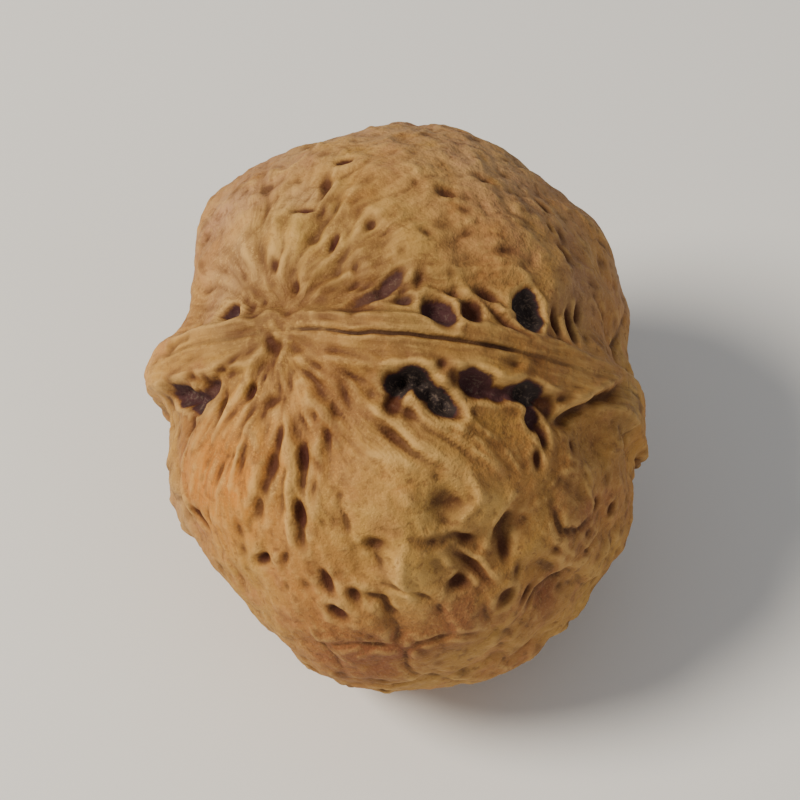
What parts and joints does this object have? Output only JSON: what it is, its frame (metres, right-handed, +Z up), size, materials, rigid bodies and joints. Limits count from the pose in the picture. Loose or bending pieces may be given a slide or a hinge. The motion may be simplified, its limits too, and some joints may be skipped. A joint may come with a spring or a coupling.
{
  "type": "walnut",
  "caption": "Whole walnut in its shell: a rounded, wrinkled wooden shell with a raised seam welt, a side ear and a pointed tip, lying on a small flat spot.",
  "frame": {"origin": "on the resting surface, under the middle of the nut's bounding box", "axes": "+Z up. The stem end points up and leans 31 degrees, towards -X and a little towards -Y. The tip points down, towards +X and +Y. The seam's plane runs roughly along X and Z."},
  "size_m": [0.0356, 0.0402, 0.0362],
  "materials": {
    "shell": "matte, dry, finely pitted shell"
  },
  "bodies": {
    "root": {"walnut": "shell"}
  },
  "joints": []
}
